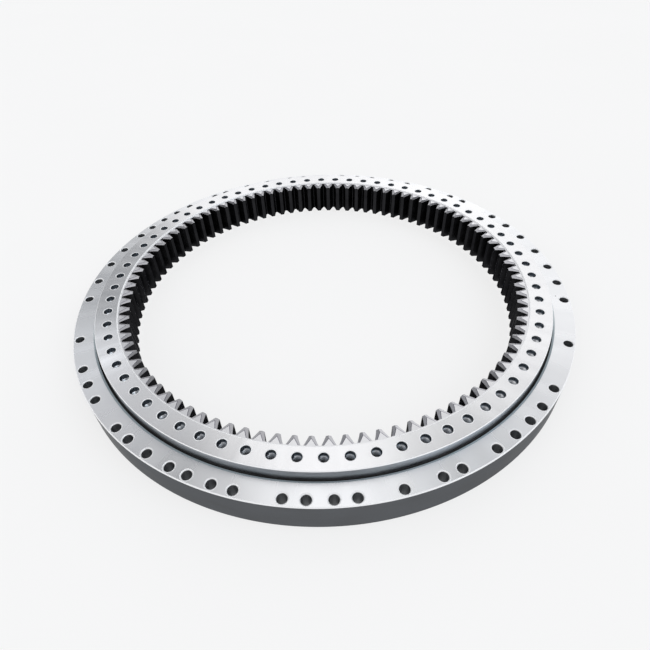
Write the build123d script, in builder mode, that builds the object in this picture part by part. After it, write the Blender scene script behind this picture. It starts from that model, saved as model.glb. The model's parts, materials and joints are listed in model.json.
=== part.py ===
from build123d import *
import os
from math import acos, cos, pi, radians, sin, tan

# Slewing ring bearing: single-row four-point contact ball slewing ring with an internal gear.
# Millimetres. Origin on the axis of rotation, in the bottom face of the outer ring; +Z up.
# Angles about +Z are counted from +X. The front of the ring faces -Y.

# ---- driving dimensions ------------------------------------------------------------------
module = 10.0  # of the gear
tooth_count = 96
pressure_angle = radians(20)
tip_radius = 475.0
root_radius = 497.5
space_at_pitch = 18.0  # width of a tooth space on the pitch circle
gear_turn = 1.51  # angle of one tooth's centre line, degrees

inner_top = 94.0
inner_bottom = 6.0
inner_outer_radius = 551.0
shoulder_radius = 500.5  # the recess that the tooth ends lie in
shoulder_depth = 3.0
inner_bolt_radius = 523.0  # radius of the circle that the holes lie on
inner_bolt_count = 70
inner_bolt_first = -89.61  # degrees
inner_hole_radius = 8.75  # M20 core hole
inner_hole_mouth = 10.6  # radius of its countersunk mouth

outer_height = 72.0
outer_bore_radius = 556.0
outer_radius = 605.0
outer_spigot_radius = 558.0  # centring recess in the underside
outer_spigot_depth = 4.0
outer_bolt_radius = 590.0
outer_hole_radius = 10.0
outer_hole_mouth = 11.5

ball_radius = 16.0
ball_count = 98
raceway_radius = 553.5
raceway_height = 39.0
groove_radius = 16.8
groove_gap = 0.3  # between ball and groove along the 45 degree contact line

seal_groove_height = 7.0
seal_groove_radius = 562.0
upper_seal_level = 60.0  # underside of the upper seal's groove
lower_seal_level = 11.0

plug_angle = -16.5
plug_radius = 18.0
pin_radius_small = 5.0
pin_radial_place = 578.0

port_angles = {"right": -30.9, "rear": 90.0, "left": 203.8}

# Angles of the outer ring's bolt holes, from the front (-Y) turning towards +X. The holes are
# unevenly spaced, in groups that leave room for the machine's frame members.
outer_bolt_angles = (
    # front right
    2.0, 5.9, 13.8, 20.9, 24.7, 32.5, 37.4, 42.0, 46.5, 52.1, 66.1, 81.0, 87.6,
    # rear right
    94.1, 101.1, 108.2, 114.6, 120.3, 131.8, 136.3, 144.0, 151.5, 157.0, 163.5, 168.5, 173.5,
    # rear left
    186.5, 191.0, 198.5, 205.5, 213.0, 216.8, 226.0, 230.9, 235.8, 240.7, 245.5, 253.1, 259.9,
    267.3,
    # front left
    274.4, 288.9, 298.7, 303.6, 308.5, 317.7, 321.6, 326.9, 332.3, 336.1, 340.9, 344.9, 353.4,
    357.4,
)
front = -90.0  # where those angles start from, counted from +X

os.makedirs("parts", exist_ok=True)


def save(shape, name):
    """Label a finished piece and write its STEP file."""
    shape.label = name
    export_step(shape, f"parts/{name}.step")


def plane_at(angle, radius, height):
    """A plane facing outwards from the axis: its normal is radial and its y axis is +Z."""
    a = radians(angle)
    outward = (cos(a), sin(a), 0)
    tangent = (-sin(a), cos(a), 0)
    origin = (radius * cos(a), radius * sin(a), height)
    return Plane(origin=origin, x_dir=tangent, z_dir=outward)


# ---- shared shapes -----------------------------------------------------------------------
def raceway_tool(side):
    """Gothic-arch ring: side -1 gives the groove of the outer ring, +1 that of the inner ring."""
    shift = (groove_radius - ball_radius - groove_gap) * cos(radians(45))
    centre = raceway_radius + side * shift
    with BuildPart() as tool:
        with BuildSketch(Plane.XZ):
            with Locations((centre, raceway_height - shift)):
                Circle(groove_radius)
            with Locations((centre, raceway_height + shift)):
                Circle(groove_radius, mode=Mode.INTERSECT)
        revolve(axis=Axis.Z)
    return tool.part


def hole_tool(radius, mouth, bottom, top):
    """A through hole with a 45 degree countersink at each end, as the solid to take away."""
    sink = mouth - radius
    over = 1.0  # runs past both faces
    with BuildPart() as tool:
        with BuildSketch(Plane.XZ):
            with BuildLine():
                Polyline(
                    (0, bottom - over),
                    (mouth + over, bottom - over),
                    (radius, bottom + sink),
                    (radius, top - sink),
                    (mouth + over, top + over),
                    (0, top + over),
                    close=True,
                )
            make_face()
        revolve(axis=Axis.Z)
    return tool.part


# ---- outer ring --------------------------------------------------------------------------
def outer_blank(edge=2.0, mouth=4.0, mouth_depth=1.5):
    """The turned outer ring before drilling, with its raceway and the two seal grooves."""
    with BuildPart() as blank:
        with BuildSketch(Plane.XZ):
            with BuildLine():
                Polyline(
                    (outer_spigot_radius, 0),
                    (outer_radius - edge, 0),
                    (outer_radius, edge),
                    (outer_radius, outer_height - edge),
                    (outer_radius - edge, outer_height),
                    (outer_bore_radius + mouth, outer_height),
                    (outer_bore_radius, outer_height - mouth_depth),
                    (outer_bore_radius, outer_spigot_depth),
                    (outer_spigot_radius, outer_spigot_depth),
                    close=True,
                )
            make_face()
        revolve(axis=Axis.Z)
        for level in (lower_seal_level, upper_seal_level):
            with BuildSketch(Plane.XY.offset(level)):
                Circle(seal_groove_radius)
                Circle(outer_bore_radius - 1, mode=Mode.SUBTRACT)
            extrude(amount=seal_groove_height, mode=Mode.SUBTRACT)
        add(raceway_tool(-1), mode=Mode.SUBTRACT)
    return blank.part


pin_length = 56.0
pin_bottom = 2.0
pin_taper = 1 / 50  # of diameter to length
fit_gap = 0.05  # on the radius, round the pin, the plug and the screwed fittings
pin_radius_large = pin_radius_small + pin_length * pin_taper / 2
plug_seat = plane_at(plug_angle, outer_radius, raceway_height)
pin_seat = Plane(
    origin=(
        pin_radial_place * cos(radians(plug_angle)),
        pin_radial_place * sin(radians(plug_angle)),
        pin_bottom,
    )
)


def pin_tool(room):
    """The taper pin's cone, thick end down, grown by room all round."""
    with BuildPart() as cone:
        with BuildSketch(pin_seat):
            Circle(pin_radius_large + room)
        with BuildSketch(pin_seat.offset(pin_length)):
            Circle(pin_radius_small + room)
        loft()
    return cone.part


port_recess_radius = 11.0
port_recess_depth = 16.0
port_thread_radius = 5.0
port_thread_depth = 10.0
port_channel_radius = 3.0
mark_radius = 1.6
mark_tip = 0.01
mark_place = (573.0, -7.8)  # radius, angle

with BuildPart() as outer_ring:
    add(outer_blank())
    # bolt holes
    bolt_hole = hole_tool(outer_hole_radius, outer_hole_mouth, 0, outer_height)
    for angle in outer_bolt_angles:
        with PolarLocations(outer_bolt_radius, 1, start_angle=front + angle):
            add(bolt_hole, mode=Mode.SUBTRACT)
    # filling hole through which the balls go in, and the pin that locks its plug
    with BuildSketch(plug_seat.offset(1)):
        Circle(plug_radius)
    extrude(amount=-(outer_radius - raceway_radius), mode=Mode.SUBTRACT)
    add(pin_tool(fit_gap), mode=Mode.SUBTRACT)
    with BuildSketch(pin_seat.offset(-pin_bottom)):
        Circle(pin_radius_large + fit_gap)
    extrude(amount=pin_bottom, mode=Mode.SUBTRACT)
    # grease ports: recess, thread and channel to the raceway
    for angle in port_angles.values():
        port = plane_at(angle, outer_radius, raceway_height)
        with BuildSketch(port.offset(1)):
            Circle(port_recess_radius)
        extrude(amount=-(port_recess_depth + 1), mode=Mode.SUBTRACT)
        with BuildSketch(port.offset(-port_recess_depth)):
            Circle(port_thread_radius)
        extrude(amount=-port_thread_depth, mode=Mode.SUBTRACT)
        with BuildSketch(port.offset(-port_recess_depth)):
            Circle(port_channel_radius)
        extrude(amount=-(outer_radius - port_recess_depth - raceway_radius), mode=Mode.SUBTRACT)
    # punch mark beside the soft zone of the raceway
    with PolarLocations(mark_place[0], 1, start_angle=mark_place[1]):
        with Locations((0, 0, outer_height)):
            Cone(
                mark_tip,
                mark_radius,
                mark_radius,
                align=(Align.CENTER, Align.CENTER, Align.MAX),
                mode=Mode.SUBTRACT,
            )
save(outer_ring.part, "outer_ring")


# ---- filling plug and its taper pin ------------------------------------------------------
plug_end_gap = 1.0  # the plug ends this far below the ring's outside
plug_draw_radius = 4.25  # M10 core hole for drawing the plug out
plug_draw_depth = 12.0
with BuildPart() as filling_plug:
    with BuildSketch(plug_seat.offset(-plug_end_gap)):
        Circle(plug_radius - fit_gap)
    extrude(amount=-(outer_radius - plug_end_gap - raceway_radius))
    add(outer_blank(), mode=Mode.INTERSECT)
    add(pin_tool(fit_gap), mode=Mode.SUBTRACT)
    with BuildSketch(plug_seat):
        Circle(plug_draw_radius)
    extrude(amount=-(plug_end_gap + plug_draw_depth), mode=Mode.SUBTRACT)
save(filling_plug.part, "filling_plug")

with BuildPart() as plug_taper_pin:
    add(pin_tool(0))
save(plug_taper_pin.part, "plug_taper_pin")


# ---- inner ring with internal gear -------------------------------------------------------
pitch_radius = module * tooth_count / 2
base_radius = pitch_radius * cos(pressure_angle)
root_arc_start = root_radius - 1.7
flat_apex = tip_radius + 8.0  # the flat on a tooth's top end comes to a point here
flat_half_base = 9.0  # and is this wide, half across, at the root
bevel_slope = tan(radians(20))  # of the bevels beside that flat
tool_reach = 8.0  # how far the cutting tool of a tooth space starts inside the teeth's tips


def involute(angle):
    return tan(angle) - angle


def half_space(radius):
    """Half the angle of a tooth space at a radius, from the involute of the base circle."""
    here = involute(acos(base_radius / radius))
    return space_at_pitch / 2 / pitch_radius + involute(pressure_angle) - here


def flank_point(radius, side):
    angle = side * half_space(radius)
    return (radius * cos(angle), radius * sin(angle))


def space_tool():
    """One tooth space, centred on +X, with the bevels that it leaves on the teeth's top ends."""
    middle = (tip_radius + root_arc_start) / 2
    inside = tip_radius - tool_reach
    tooth_top = inner_top - shoulder_depth
    with BuildPart() as tool:
        with BuildSketch(Plane.XY.offset(inner_bottom - 1)):
            with BuildLine():
                tip = [flank_point(tip_radius, side) for side in (-1, 1)]
                end = [flank_point(root_arc_start, side) for side in (-1, 1)]
                ThreePointArc(tip[0], flank_point(middle, -1), end[0])
                ThreePointArc(end[0], (root_radius, 0), end[1])
                ThreePointArc(end[1], flank_point(middle, 1), tip[1])
                Polyline(tip[1], (inside, tip[1][1]), (inside, tip[0][1]), tip[0])
            make_face()
        extrude(amount=tooth_top - inner_bottom + 2)
        # both bevels are the sides of one V-shaped trough, whose floor falls towards the axis
        half_trough = pi * root_radius / tooth_count - flat_half_base
        narrowing = flat_half_base / (root_radius - flat_apex) - pi / tooth_count
        floor = -half_trough * bevel_slope
        arm = 2 * flat_half_base + half_trough
        rise = arm * bevel_slope
        trough_end = Plane(origin=(root_radius, 0, tooth_top), x_dir=(0, 1, 0), z_dir=(1, 0, 0))
        with BuildSketch(trough_end):
            with BuildLine():
                Polyline((0, floor), (arm, floor + rise), (-arm, floor + rise), close=True)
            make_face()
        extrude(amount=root_radius - inside, dir=(-1, 0, -bevel_slope * narrowing))
    return tool.part


inner_edge = 1.5
shoulder_edge = 0.5
with BuildPart() as inner_gear_ring:
    with BuildSketch(Plane.XZ):
        with BuildLine():
            Polyline(
                (tip_radius, inner_bottom),
                (inner_outer_radius - inner_edge, inner_bottom),
                (inner_outer_radius, inner_bottom + inner_edge),
                (inner_outer_radius, inner_top - inner_edge),
                (inner_outer_radius - inner_edge, inner_top),
                (shoulder_radius + shoulder_edge, inner_top),
                (shoulder_radius, inner_top - shoulder_edge),
                (shoulder_radius, inner_top - shoulder_depth),
                (tip_radius, inner_top - shoulder_depth),
                close=True,
            )
        make_face()
    revolve(axis=Axis.Z)
    add(raceway_tool(1), mode=Mode.SUBTRACT)
    with PolarLocations(0, tooth_count, start_angle=gear_turn + 180 / tooth_count):
        add(space_tool(), mode=Mode.SUBTRACT)
    with PolarLocations(inner_bolt_radius, inner_bolt_count, start_angle=inner_bolt_first):
        add(hole_tool(inner_hole_radius, inner_hole_mouth, inner_bottom, inner_top), mode=Mode.SUBTRACT)
save(inner_gear_ring.part, "inner_gear_ring")


# ---- balls and spacers -------------------------------------------------------------------
ball_pitch = 360 / ball_count
first_ball = 0.755  # angle of one ball, degrees

with BuildPart() as balls:
    with Locations((0, 0, raceway_height)):
        with PolarLocations(raceway_radius, ball_count, start_angle=first_ball):
            Sphere(ball_radius)
save(balls.part, "balls")

# A spacer is a short nylon cylinder along the raceway, cupped at both ends to fit the balls.
spacer_radius = 12.0
spacer_length = 12.0
cup_radius = 16.2
half_pitch_chord = raceway_radius * sin(pi / ball_count)
spacer_place = raceway_radius * cos(pi / ball_count)
with BuildPart() as one_spacer:
    Cylinder(spacer_radius, spacer_length, rotation=(90, 0, 0))
    with Locations((0, half_pitch_chord, 0), (0, -half_pitch_chord, 0)):
        Sphere(cup_radius, mode=Mode.SUBTRACT)

with BuildPart() as ball_spacers:
    with Locations((0, 0, raceway_height)):
        with PolarLocations(spacer_place, ball_count, start_angle=first_ball + ball_pitch / 2):
            add(one_spacer.part)
save(ball_spacers.part, "ball_spacers")


# ---- seals -------------------------------------------------------------------------------
seal_root_gap = 0.3  # between the seal's root and the floor of its groove
seal_lip_gap = 0.3  # between the sealing lip and the inner ring
seal_lip_width = 1.0
seal_lip_rise = 3.0  # of the lip's edge, past the groove
seal_waist_gap = 2.4  # from the inner ring to the waist between both lips
dust_lip_gap = 1.0  # between the dust lip on the other side and the inner ring
dust_lip_height = 1.2
fold_depth = 1.2  # where the lips start, inside the outer ring's bore


def seal(level, up):
    """Rubber seal: a root in the outer ring's groove and a lip that wipes the inner ring."""
    bottom = level if up > 0 else level + seal_groove_height
    root = seal_groove_radius - seal_root_gap
    lip = inner_outer_radius + seal_lip_gap
    waist = inner_outer_radius + seal_waist_gap
    dust_lip = inner_outer_radius + dust_lip_gap
    profile = (
        (root, 0),
        (root, seal_groove_height),
        (outer_bore_radius, seal_groove_height),
        (outer_bore_radius - fold_depth, seal_groove_height + 0.4),
        (lip + seal_lip_width, seal_groove_height + seal_lip_rise + 0.2),
        (lip, seal_groove_height + seal_lip_rise),
        (waist, seal_groove_height - 1.6),
        (waist, dust_lip_height + 2.0),
        (dust_lip, dust_lip_height),
        (dust_lip + 0.3, 0.4),
        (outer_bore_radius - 0.8, dust_lip_height),
        (outer_bore_radius, 0),
    )
    with BuildPart() as ring:
        with BuildSketch(Plane.XZ):
            with BuildLine():
                Polyline(*[(radius, bottom + up * height) for radius, height in profile], close=True)
            make_face()
        revolve(axis=Axis.Z)
    return ring.part


save(seal(upper_seal_level, 1), "upper_seal")
save(seal(lower_seal_level, -1), "lower_seal")


# ---- grease fittings ---------------------------------------------------------------------
# Each is a screwed body, a check ball pressed against a seat at its mouth, and the spring
# behind that ball. Heights are counted outwards from the floor of the port's recess.
shank_length = 8.0
hex_height = 4.5
hex_flats = 11.0
head_top = 14.2
collar_radius = 4.4
collar_top = hex_height + 1
cone_radius = 3.0  # where the collar's cone starts
neck_radius = 2.35
neck_low = 8.6
neck_high = 10.2
nipple_radius = 3.25
nipple_low = 11.6
nipple_high = 12.4
nose_radius = 2.2
thread_chamfer = 0.6
check_ball_radius = 1.5
bore_radius = 1.65
mouth_radius = 1.1
seat_cone = 0.6  # length of the cone that the ball seats in
ledge_radius = 1.0
ledge_top = -7.4
seat_level = 12.2
ball_level = 11.0
wire_radius = 0.22
coil_radius = 1.15
coil_turns = 8
coil_nesting = 0.35  # how far the check ball sits into the end of its coil
coil_room = 0.02  # between the coil and its ledge


def fitting_body(port):
    """Turned and hexagonal body with a stepped bore."""
    axis = Axis(port.origin, port.z_dir)
    side = Plane(origin=port.origin, x_dir=port.x_dir, z_dir=-port.y_dir)
    shank_radius = port_thread_radius - fit_gap
    with BuildPart() as body:
        with BuildSketch(side):
            with BuildLine():
                Polyline(
                    (0, -shank_length),
                    (shank_radius - thread_chamfer, -shank_length),
                    (shank_radius, -shank_length + thread_chamfer),
                    (shank_radius, 0),
                    (collar_radius, 0),
                    (collar_radius, collar_top),
                    (cone_radius, collar_top + 1.2),
                    (neck_radius, neck_low),
                    (neck_radius, neck_high),
                    (nipple_radius, nipple_low),
                    (nipple_radius, nipple_high),
                    (nose_radius, head_top),
                    (0, head_top),
                    close=True,
                )
            make_face()
        revolve(axis=axis)
        with BuildSketch(port):
            RegularPolygon(hex_flats / 2, 6, major_radius=False)
        extrude(amount=hex_height)
        with BuildSketch(side):
            with BuildLine():
                Polyline(
                    (0, -shank_length - 1),
                    (ledge_radius, -shank_length - 1),
                    (ledge_radius, ledge_top),
                    (bore_radius, ledge_top),
                    (bore_radius, seat_level),
                    (mouth_radius, seat_level + seat_cone),
                    (mouth_radius, head_top + 1),
                    (0, head_top + 1),
                    close=True,
                )
            make_face()
        revolve(axis=axis, mode=Mode.SUBTRACT)
    return body.part


def fitting_spring(port):
    """Coil of round wire between the ledge and the back of the check ball."""
    low = ledge_top + wire_radius + coil_room
    high = ball_level - check_ball_radius - wire_radius + coil_nesting
    start = port.offset(low)
    with BuildPart() as spring:
        with BuildLine():
            pitch = (high - low) / coil_turns
            wire = Helix(pitch, high - low, coil_radius, center=start.origin, direction=start.z_dir)
        with BuildSketch(Plane(origin=wire @ 0, z_dir=wire % 0)):
            Circle(wire_radius)
        sweep(path=wire)
    return spring.part


for side_name, angle in port_angles.items():
    seat = plane_at(angle, outer_radius - port_recess_depth, raceway_height)
    save(fitting_body(seat), f"grease_fitting_{side_name}")
    with BuildPart() as check_ball:
        with Locations(seat.offset(ball_level)):
            Sphere(check_ball_radius)
    save(check_ball.part, f"fitting_ball_{side_name}")
    save(fitting_spring(seat), f"fitting_spring_{side_name}")
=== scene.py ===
import json
from math import acos, atan2, ceil, cos, pi, radians, sin, sqrt, tan

import bmesh
import bpy
from mathutils import Matrix, Vector


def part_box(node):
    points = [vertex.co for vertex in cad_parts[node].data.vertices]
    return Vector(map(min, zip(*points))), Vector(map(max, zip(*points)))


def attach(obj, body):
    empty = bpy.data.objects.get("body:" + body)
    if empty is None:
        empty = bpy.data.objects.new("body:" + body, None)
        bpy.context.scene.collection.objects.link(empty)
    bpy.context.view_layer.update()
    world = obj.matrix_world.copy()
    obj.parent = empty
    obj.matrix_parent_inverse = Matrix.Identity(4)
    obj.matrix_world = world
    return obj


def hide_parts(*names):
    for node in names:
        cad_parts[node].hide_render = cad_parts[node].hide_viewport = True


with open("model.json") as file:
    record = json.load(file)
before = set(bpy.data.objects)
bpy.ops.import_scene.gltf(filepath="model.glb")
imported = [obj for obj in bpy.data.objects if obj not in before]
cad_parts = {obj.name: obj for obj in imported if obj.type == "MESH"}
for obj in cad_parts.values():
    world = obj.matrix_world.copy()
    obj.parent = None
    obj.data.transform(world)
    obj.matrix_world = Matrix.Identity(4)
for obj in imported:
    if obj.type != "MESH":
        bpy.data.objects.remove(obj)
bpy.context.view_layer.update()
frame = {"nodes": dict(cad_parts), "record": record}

# Slewing ring bearing. Lengths below are millimetres and become metres when a mesh is made.
# The axis of rotation is Z, the front of the ring faces -Y, and angles are counted from +X.
MM = 0.001

# ---- fineness of the meshes ----------------------------------------------------------------
CREASE_ANGLE = 17  # degrees; edges sharper than this stay sharp in the shading
SEAL_CREASE_ANGLE = 50
WELD = 0.003  # points closer than this become one
SLIVER = 0.001  # edges shorter than this go
BLOCK_STEPS = 8  # of angle across the patch round each hole
ROW_STEPS = 8  # of radius across a ring's face
OUTER_PATCH = 15.0  # half width of the patch round each hole of the outer ring
INNER_PATCH = 13.0
OUTER_GAP_STEP = radians(0.5)  # of angle between those patches
INNER_GAP_STEP = radians(0.6)

# ---- sizes taken from the frame ----------------------------------------------------------
mounts = {m["name"]: m for m in frame["record"]["mounts"]}
outer_low, outer_high = (Vector(c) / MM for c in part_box("outer_ring"))
inner_low, inner_high = (Vector(c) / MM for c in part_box("inner_gear_ring"))

outer_radius = min(outer_high.x, -outer_low.x, outer_high.y, -outer_low.y)
outer_top = outer_high.z
inner_radius = min(inner_high.x, -inner_low.x, inner_high.y, -inner_low.y)
inner_top = inner_high.z
inner_bottom = inner_low.z
inner_bolt_circle = mounts["inner_bolts"]["dims"]["pcd_mm"] / 2
inner_bolt_count = mounts["inner_bolts"]["dims"]["count"]
inner_core_radius = mounts["inner_bolts"]["dims"]["hole_r_mm"]
shoulder_radius = mounts["gear_recess"]["dims"]["r_mm"]
spigot_radius = mounts["outer_centring"]["dims"]["r_mm"]
spigot_depth = mounts["outer_centring"]["dims"]["length_mm"]

# ---- sizes that repeat those of the design ------------------------------------------------
bore_radius = 556.0
bore_mouth = 4.0  # width of the chamfer at the gap
bore_mouth_depth = 1.5
ring_edge = 2.0  # chamfer along the outside
outer_bolt_circle = 590.0
outer_hole_radius = 10.0
outer_hole_mouth = 11.5
outer_bolt_angles = (  # degrees, counted from the front
    # front right
    2.0, 5.9, 13.8, 20.9, 24.7, 32.5, 37.4, 42.0, 46.5, 52.1, 66.1, 81.0, 87.6,
    # rear right
    94.1, 101.1, 108.2, 114.6, 120.3, 131.8, 136.3, 144.0, 151.5, 157.0, 163.5, 168.5, 173.5,
    # rear left
    186.5, 191.0, 198.5, 205.5, 213.0, 216.8, 226.0, 230.9, 235.8, 240.7, 245.5, 253.1, 259.9,
    267.3,
    # front left
    274.4, 288.9, 298.7, 303.6, 308.5, 317.7, 321.6, 326.9, 332.3, 336.1, 340.9, 344.9, 353.4,
    357.4,
)
front = -90.0  # degrees from +X

inner_edge = 1.5
shoulder_edge = 0.5
shoulder_depth = 3.0  # of the tooth ends below the inner ring's top
inner_bolt_first = -89.61  # degrees
inner_hole_mouth = 10.6

module = 10.0
tooth_count = 96
gear_turn = 1.51  # angle of one tooth's centre line, degrees
pressure_angle = radians(20)
tip_radius = 475.0
root_radius = 497.5
root_arc_start = root_radius - 1.7
space_at_pitch = 18.0  # width of a tooth space on the pitch circle
flat_apex = tip_radius + 8.0  # the flat on a tooth's top end comes to a point here
flat_half_base = 9.0  # and is this wide, half across, at the root
bevel_slope = tan(radians(20))  # of the bevels beside that flat
shoulder_joint = radians(1.26)  # from the middle of a space, where its quads meet the tooth's
crease_shade_width = 1.3  # width of the dark strip beside the flat of a tooth end: painted shade along the crease
highlight_ring_width = 1.1  # width of the ring painted bright round a hole or along an edge: a painted highlight
relief_depth = 9.0  # of the plain part above the thread of a tapped hole
thread_radius = 10.0  # outermost, M20
thread_pitch = 2.5
thread_turns = 9
thread_start = 0.4  # below the plain part
thread_end = 1.5  # from the last turn to the plain core bore

raceway_radius = 553.5
raceway_height = 39.0
ball_radius = 16.0
ball_count = 98
first_ball = 0.755  # angle of one ball, degrees
groove_radius = 16.8
groove_shift = 0.5 * cos(radians(45))  # of each arc's centre from the middle of the groove
seal_groove_radius = 562.0
seal_groove_height = 7.0
upper_seal_level = 60.0
lower_seal_level = 11.0

plug_angle = -16.5
plug_radius = 18.0
pin_place = 578.0  # radius at which the plug's taper pin stands
pin_hole_ends = ((5.61, -1.0), (5.05, 58.0))  # (radius, level)
port_angles = (-30.9, 90.0, 203.8)
port_recess_radius = 11.0
port_recess_depth = 16.0
port_thread_radius = 5.0
port_thread_depth = 10.0
port_channel_radius = 3.0
mark_place = (573.0, radians(-7.8))  # radius and angle of the punch mark
mark_radius = 1.7
mark_tip = 0.05
mark_depth = 1.5
overcut = 5.0  # how far a cutting tool reaches past the outside


# ---- mesh building -------------------------------------------------------------------------
def polar(radius, angle, z):
    """A point at a radius and an angle in radians."""
    return (radius * cos(angle), radius * sin(angle), z)


class Shell:
    """Faces of a closed surface, gathered in millimetres with a material for each."""

    def __init__(self, *materials):
        self.materials = materials
        self.faces = []
        self.slots = []

    def face(self, points, material):
        self.faces.append(points)
        self.slots.append(self.materials.index(material))

    def strip(self, one, other, material, closed=True):
        """Quads between two rows of points."""
        count = len(one)
        for i in range(count if closed else count - 1):
            j = (i + 1) % count
            self.face((one[i], one[j], other[j], other[i]), material)

    def zipper(self, one, other, material):
        """Triangles between two rings of points that stand at different angles about Z."""
        def spin(p):
            return atan2(p[1], p[0]) % (2 * pi)

        one, other = sorted(one, key=spin), sorted(other, key=spin)
        marks = sorted([(spin(p), 0, i) for i, p in enumerate(one)]
                       + [(spin(p), 1, i) for i, p in enumerate(other)])
        a, b = len(one) - 1, len(other) - 1
        for _, row, i in marks:
            if row == 0:
                self.face((one[a], one[i], other[b]), material)
                a = i
            else:
                self.face((one[a], other[i], other[b]), material)
                b = i

    def build(self, name, sharp=CREASE_ANGLE):
        """The welded mesh as an object, smooth except across edges sharper than an angle."""
        points = [tuple(c * MM for c in p) for f in self.faces for p in f]
        corners, n = [], 0
        for f in self.faces:
            corners.append(range(n, n + len(f)))
            n += len(f)
        mesh = bpy.data.meshes.new(name)
        mesh.from_pydata(points, [], [tuple(c) for c in corners])
        mesh.polygons.foreach_set("material_index", self.slots)
        bm = bmesh.new()
        bm.from_mesh(mesh)
        bmesh.ops.remove_doubles(bm, verts=bm.verts, dist=WELD * MM)
        bmesh.ops.dissolve_degenerate(bm, edges=bm.edges, dist=SLIVER * MM)
        bmesh.ops.recalc_face_normals(bm, faces=bm.faces)
        bm.to_mesh(mesh)
        bm.free()
        for material in self.materials:
            mesh.materials.append(material)
        shade(mesh, sharp)
        piece = bpy.data.objects.new(name, mesh)
        bpy.context.scene.collection.objects.link(piece)
        return piece


def shade(mesh, sharp):
    """Smooth shading, except across edges sharper than an angle in degrees."""
    mesh.shade_smooth()
    mesh.set_sharp_from_angle(angle=radians(sharp))


def stations(blocks, block_steps, gap_step):
    """Angles all round a ring, with evenly stepped blocks (centre, half width) where holes go.

    Returns the angles and, for each block, the number of its first angle."""
    order = sorted(range(len(blocks)), key=lambda i: blocks[i][0] % (2 * pi))
    angles, firsts = [], [0] * len(blocks)
    for place, i in enumerate(order):
        centre, half = blocks[i]
        centre %= 2 * pi
        following, next_half = blocks[order[(place + 1) % len(order)]]
        following = following % (2 * pi) + (2 * pi if place == len(order) - 1 else 0)
        firsts[i] = len(angles)
        angles += [centre - half + 2 * half * k / block_steps for k in range(block_steps)]
        gap_start, gap_end = centre + half, following - next_half
        steps = max(1, ceil((gap_end - gap_start) / gap_step))
        angles += [gap_start + (gap_end - gap_start) * k / steps for k in range(steps)]
    return angles, firsts


def hole_ring(centre, u, v, radius, count):
    """Points of a circle, starting at the corner between -u and -v."""
    points = []
    for i in range(count):
        a = radians(-135) + 2 * pi * i / count
        points.append(tuple(Vector(centre) + Vector(u) * radius * cos(a) + Vector(v) * radius * sin(a)))
    return points


def drilled_face(shell, angles, rows, z, holes, steps, face_material, mouth_material):
    """A flat annulus pierced by round holes, each in its own block of angles.

    rows are the radii from inside to outside. Each hole is (first angle number, polar angle,
    circle radius, mouth radius) and has a ring painted bright round its mouth, a painted highlight.
    Returns the mouth of each hole as a ring of points."""
    count = len(angles)
    pierced = {(first + k) % count for first, *_ in holes for k in range(steps)}
    for i in range(count):
        if i not in pierced:
            low = [polar(r, angles[i], z) for r in rows]
            high = [polar(r, angles[(i + 1) % count], z) for r in rows]
            shell.strip(low, high, face_material, closed=False)
    mouths = []
    for first, angle, circle, mouth in holes:
        block = [angles[(first + k) % count] for k in range(steps + 1)]
        border = [polar(rows[0], a, z) for a in block]
        border += [polar(r, block[-1], z) for r in rows[1:]]
        border += [polar(rows[-1], a, z) for a in reversed(block[:-1])]
        border += [polar(r, block[0], z) for r in reversed(rows[1:-1])]
        across, out = (-sin(angle), cos(angle), 0), (cos(angle), sin(angle), 0)
        highlight_rim, rim = (hole_ring(polar(circle, angle, z), across, out, radius, len(border))
                          for radius in (mouth + highlight_ring_width, mouth))
        shell.strip(border, highlight_rim, face_material)
        shell.strip(highlight_rim, rim, mouth_material)
        mouths.append(rim)
    return mouths


def lowered(points, circle, angle, radius, z):
    """The same ring of points about a hole's axis, at another radius and level."""
    centre = Vector(polar(circle, angle, z))
    ring = []
    for p in points:
        arm = Vector((p[0] - centre.x, p[1] - centre.y, 0)).normalized() * radius
        ring.append((centre.x + arm.x, centre.y + arm.y, z))
    return ring


def groove(side, steps=8):
    """Points (radius, z) of the gothic-arch raceway from its top edge to its bottom edge.

    side is -1 for the outer ring's groove and +1 for the inner ring's."""
    wall = bore_radius if side < 0 else inner_radius
    across = -side  # direction in which the groove is cut
    centre = raceway_radius + side * groove_shift
    reach = (wall - centre) * across
    edge = atan2(sqrt(groove_radius ** 2 - reach ** 2), reach)
    middle = atan2(groove_shift, sqrt(groove_radius ** 2 - groove_shift ** 2))
    half = []
    for k in range(steps + 1):
        a = edge + (middle - edge) * k / steps
        half.append((centre + across * groove_radius * cos(a), groove_radius * sin(a) - groove_shift))
    upper = [(r, raceway_height + h) for r, h in half]
    lower = [(r, raceway_height - h) for r, h in reversed(half[:-1])]
    return upper + lower


def turned(shell, angles, profile, material):
    """Quads swept round the ring through a chain of (radius, z) points."""
    rings = [[polar(r, a, z) for a in angles] for r, z in profile]
    for one, other in zip(rings, rings[1:]):
        shell.strip(one, other, material)


# ---- materials ------------------------------------------------------------------------------
def principled(name, **values):
    """A node material and its shader. Plain values go straight onto the shader's sockets."""
    material = bpy.data.materials.new(name)
    material.use_nodes = True
    shader = material.node_tree.nodes["Principled BSDF"]
    for socket, value in values.items():
        shader.inputs[socket.replace("_", " ")].default_value = value
    return material, shader


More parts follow.
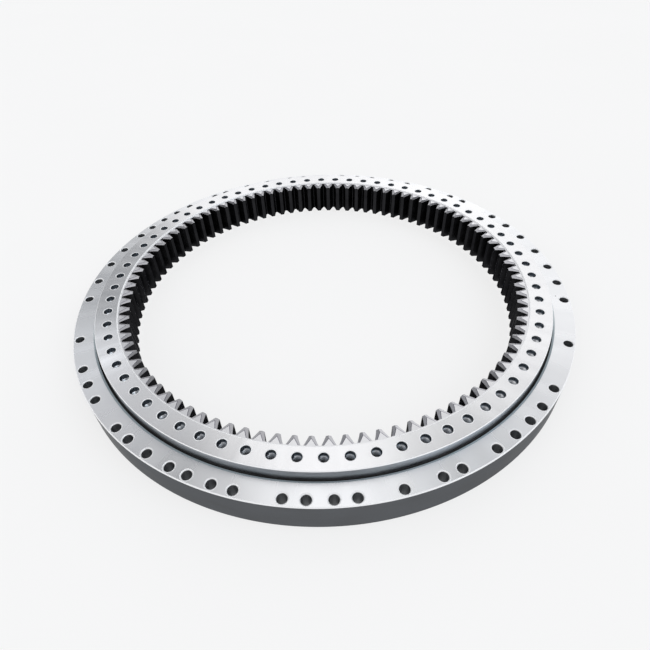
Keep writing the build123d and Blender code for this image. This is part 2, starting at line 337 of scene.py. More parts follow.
class Graph:
    """Short ways to add nodes to a material."""

    def __init__(self, material):
        self.tree = material.node_tree
        self.coords = self.tree.nodes.new("ShaderNodeTexCoord")

    def node(self, kind, **inputs):
        n = self.tree.nodes.new(kind)
        for socket, value in inputs.items():
            target = n.inputs[int(socket[1:])] if socket[0] == "i" and socket[1:].isdigit() else n.inputs[
                socket.replace("_", " ")]
            if hasattr(value, "node"):
                self.tree.links.new(value, target)
            else:
                target.default_value = value
        return n

    def link(self, source, shader, socket):
        self.tree.links.new(source, shader.inputs[socket])

    def math(self, operation, a, b=0.0):
        n = self.node("ShaderNodeMath", i0=a, i1=b)
        n.operation = operation
        return n.outputs[0]

    def polar_coords(self, along, across, height):
        """Vector of (angle, radius, z), each times a factor, so that a texture follows the turning."""
        xyz = self.node("ShaderNodeSeparateXYZ", Vector=self.coords.outputs["Object"])
        x, y, z = xyz.outputs
        angle = self.math("ARCTAN2", y, x)
        radius = self.math("SQRT", self.math("ADD", self.math("MULTIPLY", x, x), self.math("MULTIPLY", y, y)))
        joined = self.node(
            "ShaderNodeCombineXYZ",
            X=self.math("MULTIPLY", angle, along),
            Y=self.math("MULTIPLY", radius, across),
            Z=self.math("MULTIPLY", z, height),
        )
        return joined.outputs[0]

    def noise(self, vector, scale, detail=4.0, roughness=0.55):
        n = self.node("ShaderNodeTexNoise", Vector=vector, Scale=scale, Detail=detail, Roughness=roughness)
        return n.outputs["Fac"]

    def ramp(self, value, *stops):
        """Colour ramp from (position, colour or grey level) pairs."""
        n = self.node("ShaderNodeValToRGB", Fac=value)
        elements = n.color_ramp.elements
        while len(elements) < len(stops):
            elements.new(0.5)
        for element, (position, colour) in zip(elements, stops):
            element.position = position
            level = colour if isinstance(colour, tuple) else (colour,) * 3
            element.color = (*level, 1)
        return n.outputs["Color"]

    def mix(self, factor, a, b):
        n = self.tree.nodes.new("ShaderNodeMix")
        n.data_type = "RGBA"
        for index, value in ((0, factor), (6, a), (7, b)):
            if hasattr(value, "node"):
                self.tree.links.new(value, n.inputs[index])
            else:
                n.inputs[index].default_value = value if index == 0 else (*value, 1)
        return n.outputs[2]

    def along_the_turning(self, shader, amount):
        """Smears reflections across the lines that turning or grinding about Z leaves."""
        tangent = self.tree.nodes.new("ShaderNodeTangent")
        tangent.direction_type = "RADIAL"
        tangent.axis = "Z"
        self.link(tangent.outputs["Tangent"], shader, "Tangent")
        shader.inputs["Anisotropic"].default_value = amount
        shader.inputs["Anisotropic Rotation"].default_value = 0.25

    def bump(self, height, shader, strength, distance):
        n = self.node("ShaderNodeBump", Height=height, Strength=strength, Distance=distance)
        self.link(n.outputs["Normal"], shader, "Normal")


def ground_steel(name, tone, haze, wear, grain):
    """Bright ground face: circular grinding lines, fans of uneven sheen (rougher, and painted darker into the
    colour as a painted sheen), scratches and handling marks.

    haze is the roughness, wear the strength of the scratches and grain the depth of the lines."""
    material, shader = principled(name, Metallic=1.0)
    g = Graph(material)
    g.along_the_turning(shader, 0.8)
    lines = g.noise(g.polar_coords(3.0, 900.0, 0.0), 3.0, detail=3.0)
    fans = g.noise(g.polar_coords(9.0, 0.8, 0.0), 1.6, detail=0.5 + 2.5 * wear)
    marks = g.noise(g.coords.outputs["Object"], 30.0, detail=8.0, roughness=0.7)
    hairs = g.node("ShaderNodeTexNoise", Vector=g.coords.outputs["Object"], Scale=24.0, Detail=1.0,
                   Distortion=2.5).outputs["Fac"]
    scratch = g.ramp(hairs, (0.485, 0.0), (0.5, 1.0), (0.515, 0.0))
    low, high = (tuple(c * share for c in tone) for share in (0.95, 1.0))
    worn = g.math("MULTIPLY", g.ramp(marks, (0.58, 0.0), (0.72, 1.0)), 0.05 * wear)
    # fans darken the colour at random angles: painted sheen
    painted_sheen = g.math("MULTIPLY", g.ramp(fans, (0.40, 0.0), (0.66, 1.0)), 0.12)
    scratched = g.math("MULTIPLY", g.math("MULTIPLY", scratch, marks), 0.16 * wear)
    colour = g.mix(worn, g.mix(lines, low, high), tuple(c * 0.8 for c in tone))
    colour = g.mix(scratched, colour, tuple(c * 0.6 for c in tone))
    g.link(g.mix(painted_sheen, colour, tuple(c * 0.7 for c in tone)), shader, "Base Color")
    g.link(g.ramp(fans, (0.35, haze), (0.65, haze + 0.08)), shader, "Roughness")
    g.bump(lines, shader, grain, 0.0002)
    return material


def turned_steel(name, dark, light, rough, rim=1.0):
    """Turned wall: fine feed lines along the circumference with uneven tone.

    rim is the tint of what it mirrors at a glancing angle."""
    material, shader = principled(name, Metallic=1.0, Specular_Tint=(rim, rim, rim, 1))
    g = Graph(material)
    g.along_the_turning(shader, 0.6)
    feed = g.noise(g.polar_coords(2.0, 0.0, 1400.0), 2.0, detail=2.0)
    clouds = g.noise(g.polar_coords(5.0, 8.0, 18.0), 1.4, detail=5.0)
    tone = g.mix(g.math("MULTIPLY", g.math("ADD", feed, clouds), 0.5), dark, light)
    g.link(tone, shader, "Base Color")
    g.link(g.ramp(clouds, (0.3, rough - 0.05), (0.7, rough + 0.08)), shader, "Roughness")
    g.bump(feed, shader, 0.15, 0.0002)
    return material


def hobbed_steel():
    """Tooth flank with vertical cutter marks, coloured near-black: painted shade standing in for the dark
    surroundings the flanks mirror.
    """
    material, shader = principled("hobbed_steel", Metallic=1.0, Specular_Tint=(0.3, 0.3, 0.3, 1))
    g = Graph(material)
    marks = g.noise(g.polar_coords(2600.0, 60.0, 3.0), 1.0, detail=3.0)
    clouds = g.noise(g.coords.outputs["Object"], 30.0, detail=6.0)
    tone = g.mix(g.math("MULTIPLY", marks, clouds), (0.006, 0.006, 0.007), (0.075, 0.075, 0.08))
    g.link(tone, shader, "Base Color")
    g.link(g.ramp(clouds, (0.3, 0.36), (0.75, 0.55)), shader, "Roughness")
    g.bump(marks, shader, 0.2, 0.0003)
    return material


def milled_steel(name, low, high, rough, metallic=1.0):
    """Small machined face such as a chamfer."""
    material, shader = principled(name, Metallic=metallic)
    g = Graph(material)
    grain = g.noise(g.coords.outputs["Object"], 420.0, detail=4.0)
    clouds = g.noise(g.coords.outputs["Object"], 45.0, detail=4.0)
    g.link(g.mix(g.math("MULTIPLY", g.math("ADD", grain, clouds), 0.5), low, high), shader, "Base Color")
    g.link(g.ramp(clouds, (0.3, rough), (0.7, rough + 0.1)), shader, "Roughness")
    g.bump(grain, shader, 0.12, 0.0002)
    return material


def rubber():
    """Matt black rubber with fine grain and dust."""
    material, shader = principled("seal_rubber_black", Specular_IOR_Level=0.35)
    g = Graph(material)
    grain = g.noise(g.coords.outputs["Object"], 900.0, detail=3.0)
    dust = g.noise(g.polar_coords(9.0, 40.0, 40.0), 2.0, detail=6.0)
    g.link(g.mix(g.ramp(dust, (0.45, 0.0), (0.8, 1.0)), (0.007, 0.007, 0.008), (0.028, 0.028, 0.028)),
           shader, "Base Color")
    g.link(g.ramp(dust, (0.3, 0.5), (0.7, 0.72)), shader, "Roughness")
    g.bump(grain, shader, 0.15, 0.0002)
    return material


def nylon():
    """Uncoloured nylon."""
    material, shader = principled("natural_nylon", Subsurface_Weight=0.15)
    g = Graph(material)
    clouds = g.noise(g.coords.outputs["Object"], 120.0, detail=4.0)
    g.link(g.mix(clouds, (0.74, 0.70, 0.58), (0.86, 0.83, 0.74)), shader, "Base Color")
    g.link(g.ramp(clouds, (0.3, 0.38), (0.7, 0.5)), shader, "Roughness")
    g.bump(clouds, shader, 0.05, 0.0002)
    return material


def polished_steel():
    """Polished bearing steel."""
    material, shader = principled("polished_steel", Metallic=1.0)
    g = Graph(material)
    haze = g.noise(g.coords.outputs["Object"], 260.0, detail=4.0)
    g.link(g.mix(haze, (0.80, 0.80, 0.82), (0.88, 0.88, 0.90)), shader, "Base Color")
    g.link(g.ramp(haze, (0.3, 0.06), (0.7, 0.14)), shader, "Roughness")
    return material


def zinc_plate():
    """Yellow zinc plating."""
    material, shader = principled("yellow_zinc", Metallic=1.0)
    g = Graph(material)
    clouds = g.noise(g.coords.outputs["Object"], 300.0, detail=4.0)
    g.link(g.mix(clouds, (0.62, 0.52, 0.28), (0.78, 0.70, 0.48)), shader, "Base Color")
    g.link(g.ramp(clouds, (0.3, 0.24), (0.7, 0.4)), shader, "Roughness")
    g.bump(clouds, shader, 0.08, 0.0002)
    return material


def pale_floor():
    """Pale backlit studio table: it glows a little, so the ring casts hardly any shadow on it."""
    material, shader = principled(
        "pale_floor", Specular_IOR_Level=0.0, Emission_Color=(1, 1, 1, 1), Emission_Strength=0.745)
    g = Graph(material)
    clouds = g.noise(g.coords.outputs["Object"], 1.5, detail=3.0)
    g.link(g.mix(clouds, (0.20, 0.20, 0.20), (0.215, 0.215, 0.215)), shader, "Base Color")
    g.link(g.ramp(clouds, (0.3, 0.8), (0.7, 0.9)), shader, "Roughness")
    return material


ground = ground_steel("ground_steel", (0.965, 0.966, 0.975), 0.165, 1.0, 0.035)
outer_ground = ground_steel("outer_ground_steel", (0.96, 0.97, 0.985), 0.235, 0.0, 0.015)
# outer wall: the dark grey stands in for dark surroundings mirrored in it and the blue-grey clouds for bluish
# streaks: painted reflection
outer_wall = turned_steel("outer_wall_steel", (0.075, 0.075, 0.076), (0.175, 0.188, 0.205), 0.34, rim=0.55)
inner_wall = turned_steel("inner_wall_steel", (0.33, 0.345, 0.37), (0.46, 0.485, 0.51), 0.34)
race_wall = turned_steel("raceway_steel", (0.45, 0.45, 0.46), (0.6, 0.6, 0.61), 0.2)
flank = hobbed_steel()
# near-white, mostly non-metal finish on chamfers, rims and the rings round the holes: a painted highlight
# along every edge
edge_highlight_steel = milled_steel("edge_highlight_steel", (0.90, 0.905, 0.91), (0.97, 0.97, 0.975), 0.4, metallic=0.3)
# near-black chamfer at the outer ring's foot: painted shade along the bottom edge
foot_shade_steel = milled_steel("foot_edge_steel", (0.02, 0.02, 0.022), (0.05, 0.05, 0.052), 0.4)
# teal chamfer at the gap: the tint is a painted reflection of bluish light
mouth_steel = milled_steel("mouth_steel", (0.50, 0.57, 0.59), (0.64, 0.71, 0.73), 0.28)
bevel_steel = milled_steel("bevel_steel", (0.36, 0.36, 0.375), (0.50, 0.50, 0.52), 0.22)
# dark lilac strip beside each tooth-end flat: painted shade along the crease
crease_shade_steel = milled_steel("crease_shade_steel", (0.12, 0.115, 0.145), (0.22, 0.215, 0.26), 0.28)
tooth_end = milled_steel("tooth_end_steel", (0.80, 0.80, 0.82), (0.90, 0.90, 0.91), 0.26)
hole_wall = milled_steel("drilled_wall_steel", (0.28, 0.29, 0.30), (0.42, 0.435, 0.45), 0.46)
# dark blue-grey relief, darker than the bright thread below it: painted shade in the top of the tapped holes
neck_wall = milled_steel("neck_steel", (0.13, 0.15, 0.175), (0.22, 0.25, 0.28), 0.4)
# thread flanks: the downward ones near-black, the upward ones bright, painted shade and painted light on one
# cut thread
shaded_flank_steel = milled_steel("thread_painted_shade_steel", (0.03, 0.032, 0.035), (0.06, 0.063, 0.068), 0.35)
lit_flank_steel = milled_steel("thread_painted_light_steel", (0.75, 0.76, 0.78), (0.95, 0.95, 0.96), 0.3)
plug_steel = milled_steel("plug_steel", (0.32, 0.32, 0.33), (0.46, 0.46, 0.47), 0.32)
spring_wire = milled_steel("spring_wire", (0.25, 0.25, 0.26), (0.4, 0.4, 0.41), 0.3)
black_rubber = rubber()
white_nylon = nylon()
ball_steel = polished_steel()
zinc = zinc_plate()


def rows_between(low, high):
    """Radii from one to another in even steps."""
    return [low + (high - low) * k / ROW_STEPS for k in range(ROW_STEPS + 1)]


# ---- outer ring -------------------------------------------------------------------------------
def make_outer_ring():
    """Bolted ring with plain holes, seal grooves, raceway, spigot recess and radial ports."""
    shell = Shell(outer_ground, outer_wall, race_wall, edge_highlight_steel, foot_shade_steel, mouth_steel, hole_wall)
    angles_of_holes = [radians(front + a) for a in outer_bolt_angles]
    half = OUTER_PATCH / outer_bolt_circle
    angles, firsts = stations([(a, half) for a in angles_of_holes], BLOCK_STEPS, OUTER_GAP_STEP)
    holes = [(first, a, outer_bolt_circle, outer_hole_mouth) for first, a in zip(firsts, angles_of_holes)]
    rim = outer_radius - ring_edge
    top_rows = rows_between(bore_radius + bore_mouth, rim)
    tops = drilled_face(shell, angles, top_rows, outer_top, holes, BLOCK_STEPS, outer_ground, edge_highlight_steel)
    bottom_rows = rows_between(spigot_radius, rim)
    bottoms = drilled_face(shell, angles, bottom_rows, 0.0, holes, BLOCK_STEPS, outer_ground, edge_highlight_steel)
    sink = outer_hole_mouth - outer_hole_radius
    for (_, angle, circle, _), top, bottom in zip(holes, tops, bottoms):
        upper = lowered(top, circle, angle, outer_hole_radius, outer_top - sink)
        lower = lowered(bottom, circle, angle, outer_hole_radius, sink)
        shell.strip(top, upper, edge_highlight_steel)
        shell.strip(upper, lower, hole_wall)
        shell.strip(lower, bottom, edge_highlight_steel)
    turned(shell, angles, [(rim, outer_top), (outer_radius, outer_top - ring_edge)], edge_highlight_steel)
    turned(shell, angles, [(outer_radius, outer_top - ring_edge), (outer_radius, ring_edge)], outer_wall)
    turned(shell, angles, [(outer_radius, ring_edge), (rim, 0.0)], foot_shade_steel)
    lip = outer_top - bore_mouth_depth
    turned(shell, angles, [(bore_radius + bore_mouth, outer_top), (bore_radius, lip)], mouth_steel)
    chain = [(bore_radius, lip)]
    chain += seal_groove(upper_seal_level)
    chain += groove(-1)
    chain += seal_groove(lower_seal_level)
    chain += [(bore_radius, spigot_depth), (spigot_radius, spigot_depth), (spigot_radius, 0.0)]
    turned(shell, angles, chain, race_wall)
    ring = shell.build("outer_ring_body")
    cut(ring, radial_cutters(shell))
    return ring


def seal_groove(level):
    """Points (radius, z) of a seal's groove in the outer ring, from its top to its bottom."""
    top = level + seal_groove_height
    return [(bore_radius, top), (seal_groove_radius, top), (seal_groove_radius, level), (bore_radius, level)]


def bar(points_low, points_high, shell, name, material):
    """A closed prism between two rings of points."""
    tool = Shell(*shell.materials)
    tool.strip(points_low, points_high, material)
    tool.face(points_low, material)
    tool.face(points_high, material)
    return tool.build(name)


def radial_bar(shell, name, angle, radius, start, end, material, count=64):
    """A round bar along a radius of the ring at raceway height, from one radius to another."""
    across, up = (-sin(angle), cos(angle), 0), (0, 0, 1)
    low, high = (hole_ring(polar(r, angle, raceway_height), across, up, radius, count) for r in (start, end))
    return bar(low, high, shell, name, material)


def upright_bar(shell, name, radius_at, angle, low, high, material, count=32):
    """An upright cone between (radius, level) low and high, standing at a polar place."""
    rings = []
    for radius, level in (low, high):
        rings.append(hole_ring(polar(radius_at, angle, level), (1, 0, 0), (0, 1, 0), radius, count))
    return bar(*rings, shell, name, material)


def radial_cutters(shell):
    """The shapes taken out of the outer ring: filling hole, taper pin hole, grease ports, punch mark."""
    a = radians(plug_angle)
    outside = outer_radius + overcut
    tools = [radial_bar(shell, "cut_plug", a, plug_radius, raceway_radius, outside, race_wall)]
    tools.append(upright_bar(shell, "cut_pin", pin_place, a, *pin_hole_ends, race_wall))
    for i, port in enumerate(port_angles):
        a = radians(port)
        floor_at = outer_radius - port_recess_depth
        steps = (
            (port_recess_radius, floor_at, outside),
            (port_thread_radius, floor_at - port_thread_depth, floor_at + 1),
            (port_channel_radius, raceway_radius, floor_at - port_thread_depth + 1),
        )
        for k, (radius, start, end) in enumerate(steps):
            tools.append(radial_bar(shell, f"cut_port_{i}_{k}", a, radius, start, end, race_wall, 48))
    mark = (mark_tip, outer_top - mark_depth), (mark_radius, outer_top + 0.2)
    tools.append(upright_bar(shell, "cut_mark", *mark_place, *mark, hole_wall, 16))
    return tools


def cut(piece, tools):
    """Takes the tools out of the piece, then throws them away."""
    for tool in tools:
        modifier = piece.modifiers.new("cut", "BOOLEAN")
        modifier.operation = "DIFFERENCE"
        modifier.solver = "EXACT"
        modifier.material_mode = "INDEX"
        modifier.object = tool
    bpy.context.view_layer.update()
    shaped = bpy.data.meshes.new_from_object(piece.evaluated_get(bpy.context.evaluated_depsgraph_get()))
    shaped.name = piece.name
    piece.modifiers.clear()
    piece.data = shaped
    for tool in tools:
        bpy.data.objects.remove(tool)
    shade(shaped, CREASE_ANGLE)


# ---- inner ring with the gear -------------------------------------------------------------------
def involute(angle):
    """Involute function of an angle in radians."""
    return tan(angle) - angle


def half_space(radius):
    """Half the angle of a tooth space at a radius."""
    pitch_radius = module * tooth_count / 2
    here = involute(acos(pitch_radius * cos(pressure_angle) / radius))
    return space_at_pitch / 2 / pitch_radius + involute(pressure_angle) - here


def space_outline(tip_steps=3, flank_steps=8, root_steps=6):
    """Half the outline of a tooth, (x, y) from the middle of its tip to the middle of the space's root.

    The middle of the space lies on +X."""
    middle_of_tooth = pi / tooth_count
    points = []
    tip_angle = half_space(tip_radius)
    for k in range(tip_steps):
        a = middle_of_tooth + (tip_angle - middle_of_tooth) * k / tip_steps
        points.append((tip_radius * cos(a), tip_radius * sin(a)))
    for k in range(flank_steps + 1):
        r = tip_radius + (root_arc_start - tip_radius) * k / flank_steps
        points.append((r * cos(half_space(r)), r * sin(half_space(r))))
    chord_x, chord_y = points[-1]
    rise = root_radius - chord_x
    round_radius = (rise ** 2 + chord_y ** 2) / (2 * rise)
    start = atan2(chord_y, chord_x - (root_radius - round_radius))
    for k in range(1, root_steps + 1):
        a = start * (1 - k / root_steps)
        points.append((root_radius - round_radius + round_radius * cos(a), round_radius * sin(a)))
    return points, tip_steps


def make_inner_ring():
    """Raised ring with tapped holes, raceway and the internal gear."""
    shell = Shell(ground, inner_wall, race_wall, edge_highlight_steel, bevel_steel, crease_shade_steel, tooth_end, flank,
                  neck_wall, shaded_flank_steel, lit_flank_steel, hole_wall)
    tooth_top = inner_top - shoulder_depth
    face_bore = shoulder_radius + shoulder_edge
    rim = inner_radius - inner_edge
    turn = 2 * pi / inner_bolt_count
    angles_of_holes = [radians(inner_bolt_first) + turn * i for i in range(inner_bolt_count)]
    half = INNER_PATCH / inner_bolt_circle
    angles, firsts = stations([(a, half) for a in angles_of_holes], BLOCK_STEPS, INNER_GAP_STEP)
    holes = [(first, a, inner_bolt_circle, inner_hole_mouth) for first, a in zip(firsts, angles_of_holes)]
    rows = rows_between(face_bore + highlight_ring_width, rim)
    tops = drilled_face(shell, angles, rows, inner_top, holes, BLOCK_STEPS, ground, edge_highlight_steel)
    bottoms = drilled_face(shell, angles, rows, inner_bottom, holes, BLOCK_STEPS, ground, edge_highlight_steel)
    for (_, angle, circle, _), top, bottom in zip(holes, tops, bottoms):
        tapped_hole(shell, circle, angle, top, bottom)
    turned(shell, angles, [(rim, inner_top), (inner_radius, inner_top - inner_edge)], edge_highlight_steel)
    race = groove(1)
    turned(shell, angles, [(inner_radius, inner_top - inner_edge), race[0]], inner_wall)
    turned(shell, angles, race, race_wall)
    turned(shell, angles, [race[-1], (inner_radius, inner_bottom + inner_edge)], inner_wall)
    turned(shell, angles, [(inner_radius, inner_bottom + inner_edge), (rim, inner_bottom)], edge_highlight_steel)
    ledge = inner_top - shoulder_edge
    inside_edge = [(rows[0], inner_top), (face_bore, inner_top), (shoulder_radius, ledge)]
    turned(shell, angles, inside_edge, edge_highlight_steel)
    top_arc, bottom_arc = gear_cells(shell, tooth_top)
    shell.zipper([polar(shoulder_radius, a, ledge) for a in angles], top_arc, edge_highlight_steel)
    shell.zipper([polar(rows[0], a, inner_bottom) for a in angles], bottom_arc, ground)
    return shell.build("inner_gear_body")


def tapped_hole(shell, circle, angle, top, bottom):
    """Countersunk M20 hole: plain relief at the top, then a real helical thread and the core bore."""
    core = inner_core_radius
    relief = thread_radius - 0.05
    lip = lowered(top, circle, angle, relief, inner_top - (inner_hole_mouth - relief))
    neck_level = inner_top - relief_depth
    neck = lowered(top, circle, angle, relief, neck_level)
    shell.strip(top, lip, edge_highlight_steel)
    shell.strip(lip, neck, neck_wall)
    count = len(neck)
    centre = Vector(polar(circle, angle, 0))
    arms = [(Vector((p[0], p[1], 0)) - centre).normalized() for p in neck]

    def helix(step, level):
        """Point of the thread: step counts along the helix, level half pitches below it."""
        lap, i = divmod(step, count)
        radius = core if level % 2 == 0 else thread_radius
        drop = thread_start + thread_pitch * step / count + thread_pitch * level / 2
        place = centre + arms[i] * radius
        return (place.x, place.y, neck_level - drop)

    for i in range(count):
        j = (i + 1) % count
        shell.face((neck[i], neck[j], helix(i + 1, 0), helix(i, 0)), neck_wall)
    shell.face((neck[0], helix(0, 0), helix(0, 1), helix(0, 2)), shaded_flank_steel)
    # downward flanks get the painted shade, upward flanks the painted light
    for step in range(count * thread_turns):
        for level, side in ((0, shaded_flank_steel), (1, lit_flank_steel)):
            shell.face((helix(step, level), helix(step + 1, level), helix(step + 1, level + 1),
                        helix(step, level + 1)), side)
    end = count * thread_turns
    foot_level = neck_level - thread_start - thread_pitch * (thread_turns + 1) - thread_end
    foot = lowered(top, circle, angle, core, foot_level)
    for i in range(count):
        j = (i + 1) % count
        shell.face((helix(end + i, 0), helix(end + i + 1, 0), foot[j], foot[i]), hole_wall)
    shell.face((helix(end, 0), helix(end, 1), helix(end, 2), foot[0]), hole_wall)
    base_sink = inner_hole_mouth - core
    base = lowered(bottom, circle, angle, core, inner_bottom + base_sink)
    shell.strip(foot, base, hole_wall)
    shell.strip(base, bottom, edge_highlight_steel)


def gear_cells(shell, tooth_top):
    """All teeth. Returns the rings of points in which their two ends meet the ring's shoulder."""
    outline, tip_steps = space_outline()
    half_root = pi * root_radius / tooth_count - flat_half_base
    narrowing = flat_half_base / (root_radius - flat_apex) - pi / tooth_count
    middle = pi / tooth_count

    def beside(x, y):
        """Distance of a point of the bevel from the edge of the flat."""
        return half_root + (root_radius - x) * narrowing - y

    # the line between flat and bevel, matched to the outline point by point, and the strip of painted shade
    # beside it
    corner = (root_radius, half_root)
    reach = (half_root + root_radius * narrowing) / (tan(middle) + narrowing)
    apex = (reach, reach * tan(middle))
    crease, shade_line = [], []
    for k, (x, y) in enumerate(outline):
        share = 0.0 if k <= tip_steps else (k - tip_steps) / (len(outline) - 1 - tip_steps)
        edge_x = apex[0] + (corner[0] - apex[0]) * share
        edge_y = apex[1] + (corner[1] - apex[1]) * share
        part = min(0.45, crease_shade_width / beside(x, y))
        crease.append((edge_x, edge_y))
        shade_line.append((edge_x + (x - edge_x) * part, edge_y + (y - edge_y) * part))
    arc_angles = (0.0, atan2(half_root, root_radius), shoulder_joint, middle)
    arc = [(shoulder_radius * cos(a), shoulder_radius * sin(a)) for a in arc_angles]
    top_arc, bottom_arc = [], []
    for cell in range(tooth_count):
        turn = radians(gear_turn) + middle * (2 * cell + 1)
        for side in (1, -1):

            def at(point, z):
                x, y = point
                y *= side
                return (x * cos(turn) - y * sin(turn), x * sin(turn) + y * cos(turn), z)

            def on_bevel(points):
                return [at(p, tooth_top - bevel_slope * beside(*p)) for p in points]

            lows, shade_lines = on_bevel(outline), on_bevel(shade_line)
            highs = [at(p, tooth_top) for p in crease]
            floors = [at(p, inner_bottom) for p in outline]
            for k in range(len(outline) - 1):
                if k < tip_steps:
                    shell.face((shade_lines[k], shade_lines[k + 1], highs[0]), crease_shade_steel)
                else:
                    shell.face((shade_lines[k], shade_lines[k + 1], highs[k + 1], highs[k]), crease_shade_steel)
                shell.face((lows[k], lows[k + 1], shade_lines[k + 1], shade_lines[k]), bevel_steel)
                shell.face((lows[k], lows[k + 1], floors[k + 1], floors[k]), flank)
            tops = [at(p, tooth_top) for p in arc]
            root_end = at((root_radius, 0.0), tooth_top)
            shell.face((root_end, highs[-1], tops[1], tops[0]), tooth_end)
            shell.face((*tops[1:], *highs[tip_steps:]), tooth_end)
            shell.face((lows[-1], shade_lines[-1], highs[-1], root_end), flank)
            bottoms = [at(p, inner_bottom) for p in arc]
            shell.face((*floors, *bottoms), ground)
            kept = slice(0, 3) if side > 0 else slice(1, 4)
            top_arc += tops[kept]
            bottom_arc += bottoms[kept]
    return top_arc, bottom_arc


# ---- seals, balls and spacers ---------------------------------------------------------------------
def rounded(points, radius, steps=3):
    """A closed chain of (radius, z) points with its corners rounded."""
    result = []
    count = len(points)
    for i, here in enumerate(points):
        before, after = Vector(points[i - 1]), Vector(points[(i + 1) % count])
        here = Vector(here)
        back, ahead = before - here, after - here
        reach = min(radius, back.length * 0.45, ahead.length * 0.45)
        start, end = here + back.normalized() * reach, here + ahead.normalized() * reach
        for k in range(steps + 1):
            t = k / steps
            result.append(tuple(start * (1 - t) ** 2 + here * 2 * t * (1 - t) + end * t ** 2))
    return result


def make_seal(name, level, up):
    """Rubber seal with a root in the outer ring's groove and a lip against the inner ring."""
    shell = Shell(black_rubber)
    bottom = level if up > 0 else level + seal_groove_height
    inner = inner_radius + 0.25
    # (radius, height above the groove's floor side), once round the section
    shape = (
        (seal_groove_radius - 0.4, 0.05),
        (seal_groove_radius - 0.4, 6.95),
        (bore_radius + 0.3, 6.95),
        (bore_radius - 0.8, 7.4),
        (bore_radius - 1.6, 7.5),
        (inner + 1.0, 10.2),
        (inner, 10.0),
        (inner + 2.1, 5.4),
        (inner + 2.1, 3.2),
        (inner + 0.7, 1.2),
        (inner + 1.0, 0.4),
        (bore_radius - 0.8, 1.2),
        (bore_radius - 0.3, 0.05),
    )
    profile = rounded([(r, bottom + up * z) for r, z in shape], 0.5)
    angles = [radians(k) / 2 for k in range(720)]
    turned(shell, angles, [*profile, profile[0]], black_rubber)
    return shell.build(name, sharp=SEAL_CREASE_ANGLE)


def make_balls():
    """The ball row: a true sphere at every place of the train."""
    bm = bmesh.new()
    pitch = 2 * pi / ball_count
    for i in range(ball_count):
        place = Vector(polar(raceway_radius, radians(first_ball) + pitch * i, raceway_height)) * MM
        at_place = Matrix.Translation(place)
        bmesh.ops.create_icosphere(bm, subdivisions=4, radius=ball_radius * MM, matrix=at_place)
    mesh = bpy.data.meshes.new("ball_row")
    bm.to_mesh(mesh)
    bm.free()
    mesh.materials.append(ball_steel)
    mesh.shade_smooth()
    piece = bpy.data.objects.new("ball_row", mesh)
    bpy.context.scene.collection.objects.link(piece)
    return piece


def make_spacers(radius=12.0, half_length=6.0, cup=16.2, around=24, cup_steps=6):
    """Cupped cylinders between the balls, their edges slightly rounded."""
    shell = Shell(white_nylon)
    pitch = 2 * pi / ball_count
    reach = raceway_radius * sin(pitch / 2)
    rim = sqrt(cup ** 2 - (reach - half_length) ** 2)
    half = []
    for k in range(cup_steps + 1):
        r = rim * k / cup_steps
        half.append((r, reach - sqrt(cup ** 2 - r ** 2)))
    half += [(radius - 0.3, half_length), (radius, half_length - 0.3)]
    profile = half + [(r, -t) for r, t in reversed(half)]
    for i in range(ball_count):
        angle = radians(first_ball) + pitch * (i + 0.5)
        centre = Vector(polar(raceway_radius * cos(pitch / 2), angle, raceway_height))
        along = Vector((-sin(angle), cos(angle), 0))
        out, up = Vector((cos(angle), sin(angle), 0)), Vector((0, 0, 1))
        rings = []
        for r, t in profile:
            ring = []
            for k in range(around):
                a = 2 * pi * k / around
                ring.append(tuple(centre + along * t + out * r * cos(a) + up * r * sin(a)))
            rings.append(ring if r > 0 else ring[:1])
        for one, other in zip(rings, rings[1:]):
            if len(one) == 1 or len(other) == 1:
                tip, ring = (one[0], other) if len(one) == 1 else (other[0], one)
                for k in range(around):
                    shell.face((tip, ring[k], ring[(k + 1) % around]), white_nylon)
            else:
                shell.strip(one, other, white_nylon)
    return shell.build("spacer_row")


# ---- the model ----------------------------------------------------------------------------------------
def stand_for(piece, body, node):
    """Puts a finer mesh on its body in place of the CAD node it stands for."""
    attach(piece, body)
    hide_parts(node)


def paint(node, material):
    """Gives a CAD node that stays visible its material."""
    mesh = frame["nodes"][node].data
    mesh.materials.clear()
    mesh.materials.append(material)


stand_for(make_outer_ring(), "outer_ring", "outer_ring")
stand_for(make_inner_ring(), "inner_ring", "inner_gear_ring")
stand_for(make_seal("upper_seal_lip", upper_seal_level, 1), "outer_ring", "upper_seal")
stand_for(make_seal("lower_seal_lip", lower_seal_level, -1), "outer_ring", "lower_seal")
stand_for(make_balls(), "ball_train", "balls")
stand_for(make_spacers(), "ball_train", "ball_spacers")

paint("filling_plug", plug_steel)
paint("plug_taper_pin", plug_steel)
for side_name in ("right", "rear", "left"):
    paint(f"grease_fitting_{side_name}", zinc)
    paint(f"fitting_ball_{side_name}", ball_steel)
    paint(f"fitting_spring_{side_name}", spring_wire)


# ---- floor, light and camera ------------------------------------------------------------------------
def make_floor(radius=14.0, count=96, level=-0.0005):
    """A wide disc just under the ring. These sizes are metres."""
    mesh = bpy.data.meshes.new("floor")
    turns = [2 * pi * k / count for k in range(count)]
    rim = [(radius * cos(a), radius * sin(a), level) for a in turns]
    mesh.from_pydata(rim, [], [tuple(range(count))])
    mesh.materials.append(pale_floor())
    piece = bpy.data.objects.new("floor", mesh)
    bpy.context.scene.collection.objects.link(piece)


def towards(azimuth, elevation):
    """Unit vector at an azimuth from +X and an elevation, in degrees."""
    a, e = radians(azimuth), radians(elevation)
    return (cos(e) * cos(a), cos(e) * sin(a), sin(e))


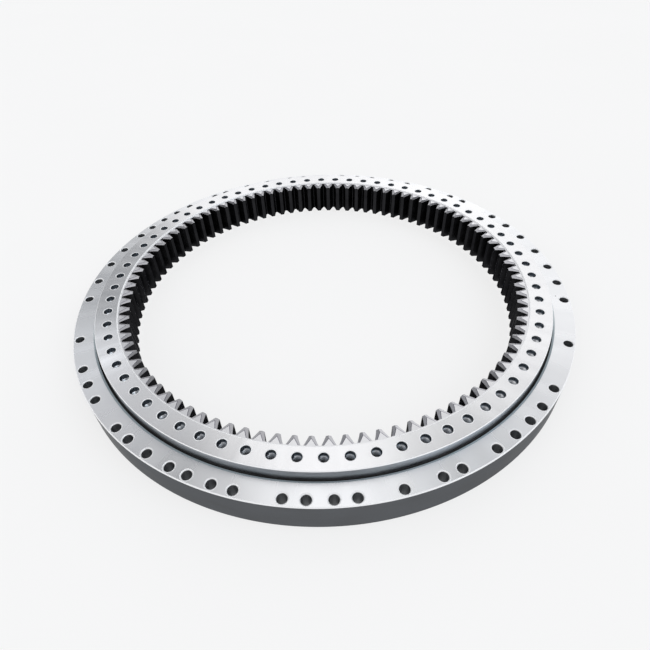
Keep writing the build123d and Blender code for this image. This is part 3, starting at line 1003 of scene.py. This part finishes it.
def make_world():
    """A bright soft room. Each screen is a round patch of it, brighter or darker than the rest."""
    world = bpy.data.worlds.new("studio")
    bpy.context.scene.world = world
    world.use_nodes = True
    tree = world.node_tree
    background = tree.nodes["Background"]
    coords = tree.nodes.new("ShaderNodeTexCoord")
    colour = (0.98, 0.98, 0.99)
    for azimuth, elevation, full, faded, tone in screens:
        dot = tree.nodes.new("ShaderNodeVectorMath")
        dot.operation = "DOT_PRODUCT"
        tree.links.new(coords.outputs["Generated"], dot.inputs[0])
        dot.inputs[1].default_value = towards(azimuth, elevation)
        reach = tree.nodes.new("ShaderNodeMapRange")
        reach.interpolation_type = "SMOOTHSTEP"
        tree.links.new(dot.outputs["Value"], reach.inputs["Value"])
        reach.inputs["From Min"].default_value = cos(radians(faded))
        reach.inputs["From Max"].default_value = cos(radians(full))
        mix = tree.nodes.new("ShaderNodeMix")
        mix.data_type = "RGBA"
        tree.links.new(reach.outputs["Result"], mix.inputs[0])
        if isinstance(colour, tuple):
            mix.inputs[6].default_value = (*colour, 1)
        else:
            tree.links.new(colour, mix.inputs[6])
        mix.inputs[7].default_value = (*tone, 1)
        colour = mix.outputs[2]
    tree.links.new(colour, background.inputs["Color"])
    background.inputs["Strength"].default_value = 1.0


def make_camera():
    """Looks down on the ring from the front at the height and distance of a person leaning over it."""
    camera = bpy.data.cameras.new("camera")
    camera.sensor_width = 36.0
    camera.lens = 26.67
    camera.clip_end = 100.0
    viewer = bpy.data.objects.new("camera", camera)
    right = Vector((0.99957, -0.00328, -0.02912))
    ahead = Vector((-0.01754, 0.72904, -0.68425)).normalized()
    right = (right - ahead * right.dot(ahead)).normalized()
    up = right.cross(ahead)
    frame_matrix = Matrix((right, up, -ahead)).transposed().to_4x4()
    frame_matrix.translation = Vector((0.0261, -0.9782, 0.8382))
    viewer.matrix_world = frame_matrix
    bpy.context.scene.collection.objects.link(viewer)
    bpy.context.scene.camera = viewer


# Patches of the room: azimuth, elevation, angle of full tone, angle where it has faded out, tone.
screens = (
    (128.0, 33.0, 11.0, 20.0, (0.33, 0.34, 0.355)),
    (123.0, 51.0, 4.0, 8.5, (0.56, 0.57, 0.59)),
    (125.5, 41.0, 1.0, 5.0, (1.3, 1.33, 1.38)),
    (64.0, 55.0, 6.0, 14.0, (0.86, 0.865, 0.87)),
    (34.0, 45.0, 8.0, 14.0, (0.40, 0.40, 0.42)),
    (146.0, 45.0, 8.0, 14.0, (0.40, 0.40, 0.42)),
    (97.0, 57.0, 4.0, 10.0, (1.0, 1.0, 1.01)),
    (95.0, 84.0, 7.0, 12.0, (1.3, 1.3, 1.33)),
    (46.0, 62.0, 7.0, 12.0, (0.02, 0.02, 0.025)),
    (136.0, 62.0, 7.0, 12.0, (0.02, 0.02, 0.025)),
    (72.0, 6.0, 13.0, 21.0, (1.6, 1.6, 1.62)),
    (268.0, 58.0, 14.0, 30.0, (0.30, 0.30, 0.31)),
    (342.0, 50.0, 12.0, 26.0, (1.7, 1.85, 2.0)),
)
make_floor()
make_world()
make_camera()
bpy.context.scene.view_settings.view_transform = "Standard"
